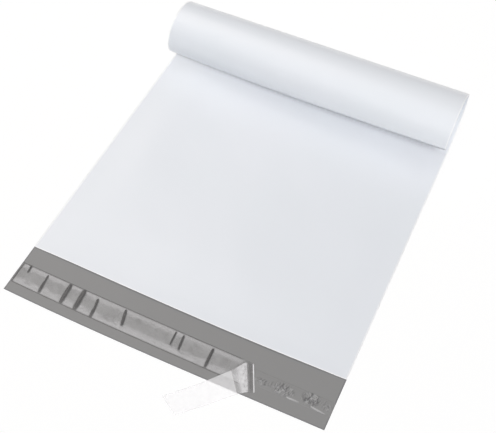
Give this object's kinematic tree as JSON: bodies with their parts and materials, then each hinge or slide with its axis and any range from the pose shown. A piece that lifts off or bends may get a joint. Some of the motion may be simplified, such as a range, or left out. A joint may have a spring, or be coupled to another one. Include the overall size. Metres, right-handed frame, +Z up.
{
  "type": "poly mailer bag",
  "caption": "Flat film mailing bag with its closed end rolled over, its self-seal flap laid open and the release liner peeled back in part.",
  "frame": {"origin": "on the resting plane, under the middle of the mouth line, where the flap begins", "axes": "+Y from the mouth towards the rolled closed end, +Z up from the resting plane, +X across the bag"},
  "size_m": [0.25, 0.3392, 0.0486],
  "materials": {
    "white_film": "glossy bluish-white co-extruded film with a grey inner skin that shows on the flap",
    "clear_adhesive": "clear tacky hot-melt band over the grey skin",
    "clear_liner": "thin clear glossy release film"
  },
  "bodies": {
    "root": {"mailer_film": "white_film", "adhesive_band": "clear_adhesive", "release_liner": "clear_liner"}
  },
  "joints": []
}
